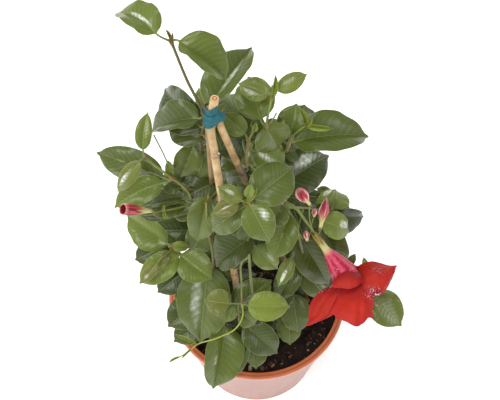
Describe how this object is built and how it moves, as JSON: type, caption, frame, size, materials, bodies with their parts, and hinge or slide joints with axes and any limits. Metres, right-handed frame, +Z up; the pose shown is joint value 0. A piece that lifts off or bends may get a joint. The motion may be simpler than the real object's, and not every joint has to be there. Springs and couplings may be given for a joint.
{
  "type": "potted climbing plant",
  "caption": "Twining plant with glossy leaves, an open trumpet flower and buds, on a tripod of bamboo canes tied with tape, in a round tapered plastic pot of soil.",
  "frame": {"origin": "centre of the pot's flat underside, on the floor", "axes": "+Z up along the pot's axis; the plant's front, with the open flower to its right, faces -Y; +X is to the right seen from the front"},
  "size_m": [0.2837, 0.2167, 0.5098],
  "materials": {
    "pot_plastic": "satin terracotta-coloured plastic, paler and rosier on the wall than on the lip",
    "potting_soil": "dark crumbly peat and bark",
    "bamboo": "dry, with brown stains",
    "binding_tape": "teal stretch tape, slightly shiny",
    "foliage": "waxy green leaf with glossy patches",
    "petal": "velvety red",
    "bud": "satin pink and cream"
  },
  "bodies": {
    "root": {"pot": "pot_plastic", "soil": "potting_soil", "cane_front": "bamboo", "cane_right": "bamboo", "cane_left": "bamboo", "tape": "binding_tape", "bloom": "petal", "leafy_stem_left_back": "foliage", "leafy_stem_back": "foliage", "leafy_stem_back_right": "foliage", "leafy_stem_left": "foliage", "leafy_stem_front_left": "foliage", "leafy_stem_front": "foliage", "leafy_stem_right": "foliage", "leafy_stem_front_right": "foliage", "bud_round": "bud", "bud_pointed": "bud", "bud_low": "bud", "bud_small": "bud", "bud_left": "bud"}
  },
  "joints": []
}
